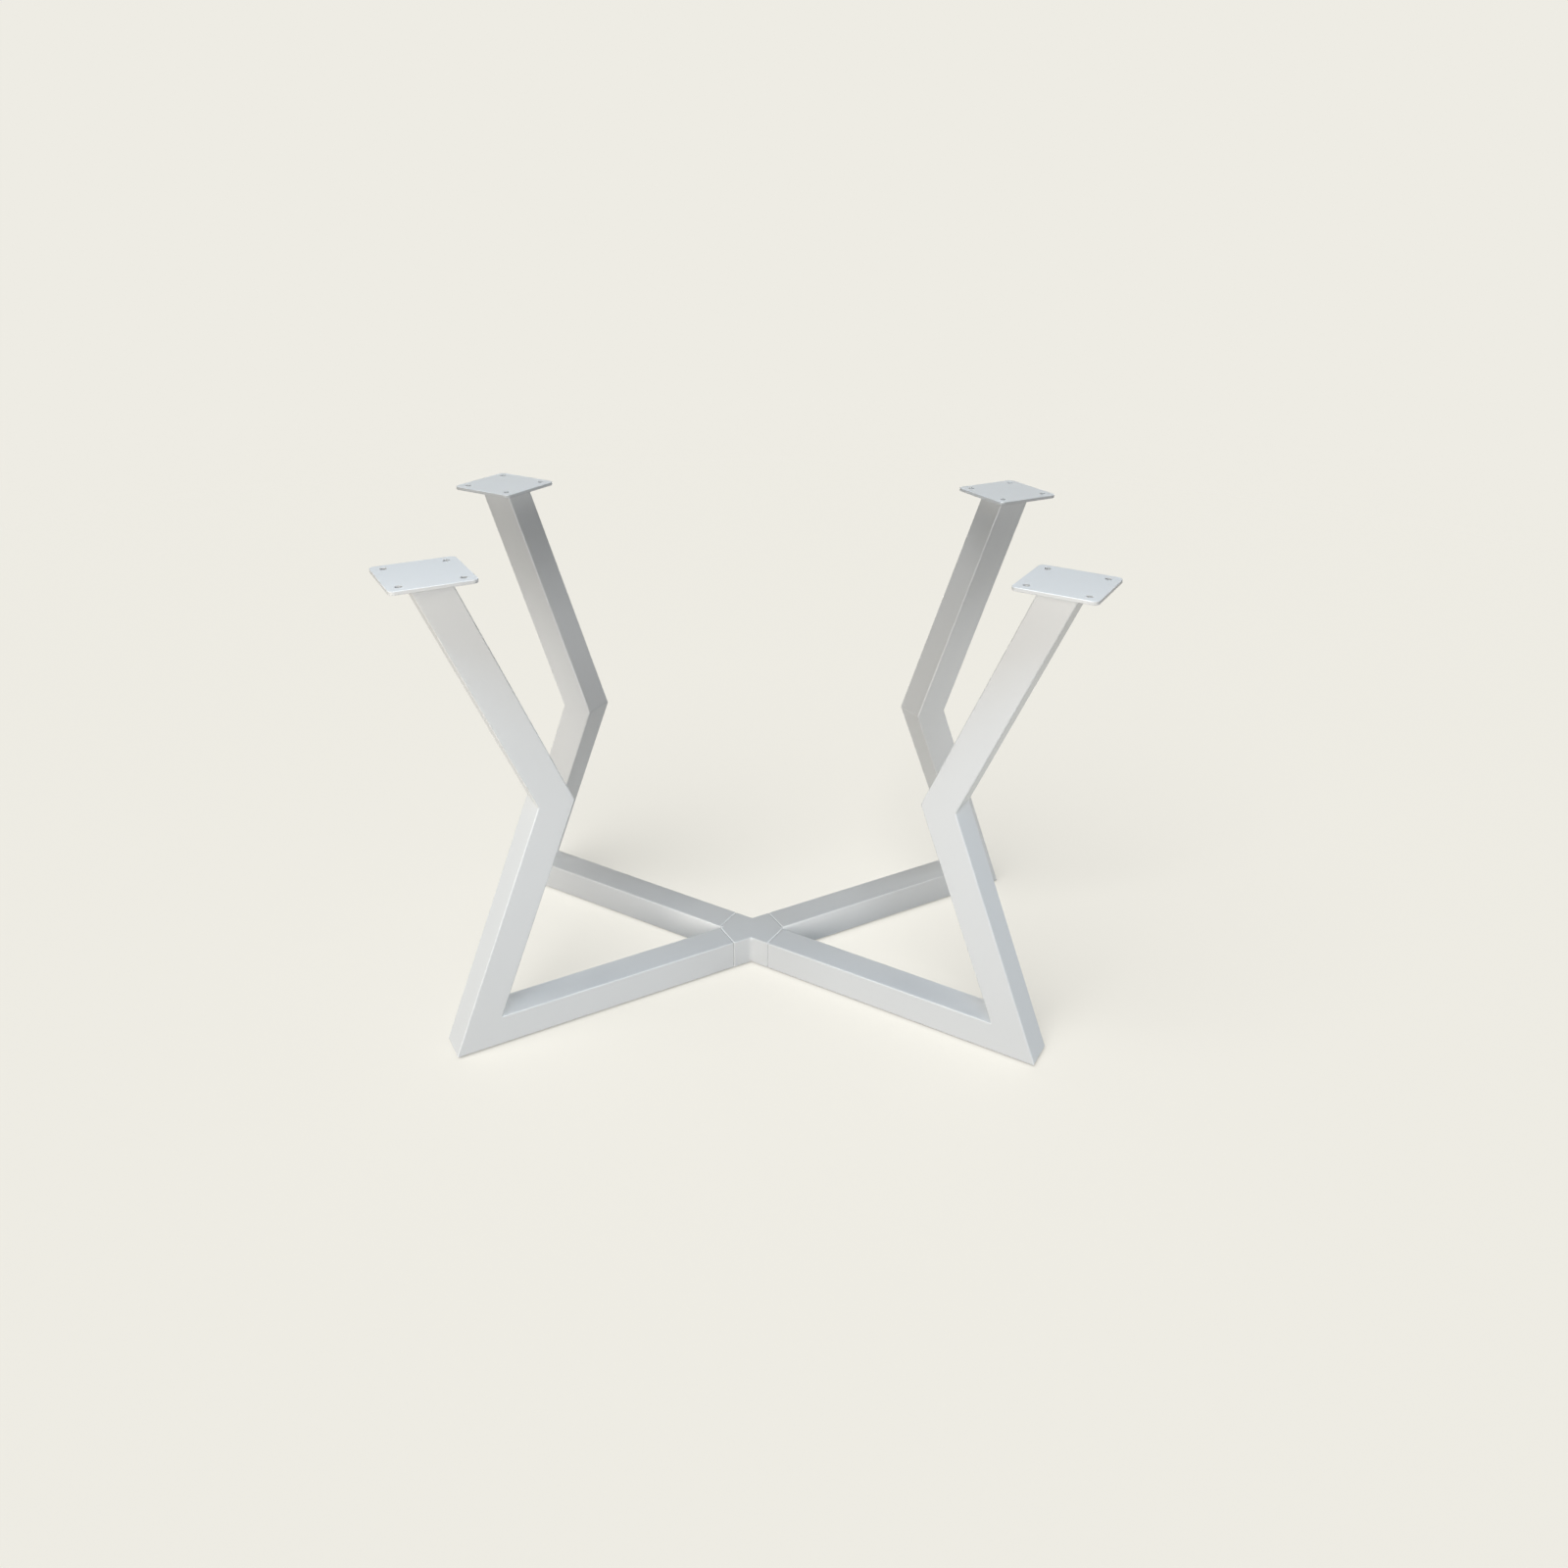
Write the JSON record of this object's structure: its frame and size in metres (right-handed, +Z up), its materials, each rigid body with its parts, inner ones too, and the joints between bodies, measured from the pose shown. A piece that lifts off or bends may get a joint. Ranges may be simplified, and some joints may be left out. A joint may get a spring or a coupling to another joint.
{
  "type": "dining table base",
  "caption": "White coated steel dining table base: bent square-tube legs on a crossed floor rail with a knock-down hub, and drilled top plates that carry a table top.",
  "frame": {"origin": "on the floor, under the centre of the crossing", "axes": "+X along the long side to the right seen from the front, +Y to the back, +Z up"},
  "size_m": [0.9432, 0.6056, 0.74],
  "materials": {
    "coated_steel": "satin white powder coat with a fine texture",
    "bare_steel": "plain cold-drawn steel tube",
    "zinc_steel": "bright zinc plated",
    "glide_plastic": "matt light grey plastic"
  },
  "bodies": {
    "root": {"front_left_rail": "coated_steel", "front_left_lower_leg": "coated_steel", "front_left_upper_leg": "coated_steel", "front_left_top_plate": "coated_steel", "front_left_glide": "glide_plastic", "front_left_hub_sleeve": "coated_steel", "front_left_hub_spigot": "bare_steel", "front_right_rail": "coated_steel", "front_right_lower_leg": "coated_steel", "front_right_upper_leg": "coated_steel", "front_right_top_plate": "coated_steel", "front_right_glide": "glide_plastic", "front_right_hub_sleeve": "coated_steel", "front_right_hub_spigot": "bare_steel", "back_left_rail": "coated_steel", "back_left_lower_leg": "coated_steel", "back_left_upper_leg": "coated_steel", "back_left_top_plate": "coated_steel", "back_left_glide": "glide_plastic", "back_left_hub_sleeve": "coated_steel", "back_left_hub_spigot": "bare_steel", "back_right_rail": "coated_steel", "back_right_lower_leg": "coated_steel", "back_right_upper_leg": "coated_steel", "back_right_top_plate": "coated_steel", "back_right_glide": "glide_plastic", "back_right_hub_sleeve": "coated_steel", "back_right_hub_spigot": "bare_steel", "lock_screws": "zinc_steel", "lock_nuts": "zinc_steel"}
  },
  "joints": []
}
